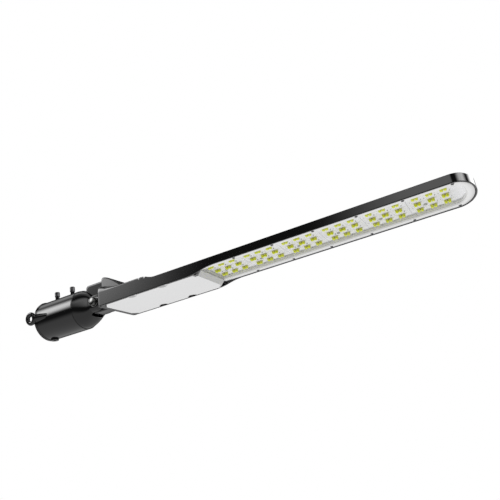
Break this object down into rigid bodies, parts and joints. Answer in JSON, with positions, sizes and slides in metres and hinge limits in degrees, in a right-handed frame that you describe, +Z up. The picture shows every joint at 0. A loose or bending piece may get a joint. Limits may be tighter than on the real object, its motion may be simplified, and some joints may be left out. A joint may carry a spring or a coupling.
{
  "type": "led street light head",
  "caption": "Long slim LED street light head with a white driver cover, rows of oblong lenses and a tilting pole spigot with clamp bolts.",
  "frame": {"origin": "centre of the pole socket's mouth, on the spigot's axis", "axes": "+X along the head from the pole to its tip, +Z up, lamps facing down along -Z"},
  "size_m": [0.8246, 0.1014, 0.0953],
  "materials": {
    "black_paint": "glossy black powder coat on a die casting",
    "steel": "stainless",
    "dark_steel": "blackened",
    "clear_lens": "clear, moulded",
    "seal": "matt silicone",
    "white_cover": "satin white",
    "driver_case": "plain",
    "grey_plastic": "moulded",
    "black_plastic": "moulded",
    "white_board": "white solder mask",
    "led_phosphor": "yellow phosphor"
  },
  "bodies": {
    "spigot": {"pole_spigot": "black_paint", "set_bolts": "dark_steel", "hinge_bolt": "steel", "hinge_washers": "steel", "hinge_nut": "steel"},
    "head": {"housing": "black_paint", "lens_plate": "clear_lens", "lens_gasket": "seal", "lens_screws": "steel", "board_screws": "steel", "driver_cover": "white_cover", "cover_gasket": "seal", "cover_screws": "steel", "led_driver": "driver_case", "driver_screws": "steel", "terminal_block": "grey_plastic", "surge_protector": "grey_plastic", "cable_gland": "seal", "breather_vent": "black_plastic", "led_board_1": "white_board", "led_board_2": "white_board", "led_board_3": "white_board", "led_board_4": "white_board", "led_board_5": "white_board", "led_board_6": "white_board", "led_chips_1": "led_phosphor", "led_chips_2": "led_phosphor", "led_chips_3": "led_phosphor", "led_chips_4": "led_phosphor", "led_chips_5": "led_phosphor", "led_chips_6": "led_phosphor"}
  },
  "joints": [
    {"name": "head_tilt", "type": "hinge", "parent": "spigot", "child": "head", "pos_m": [0.137, 0, 0], "axis": [0, -1, 0], "range_deg": [-15, 15]}
  ]
}
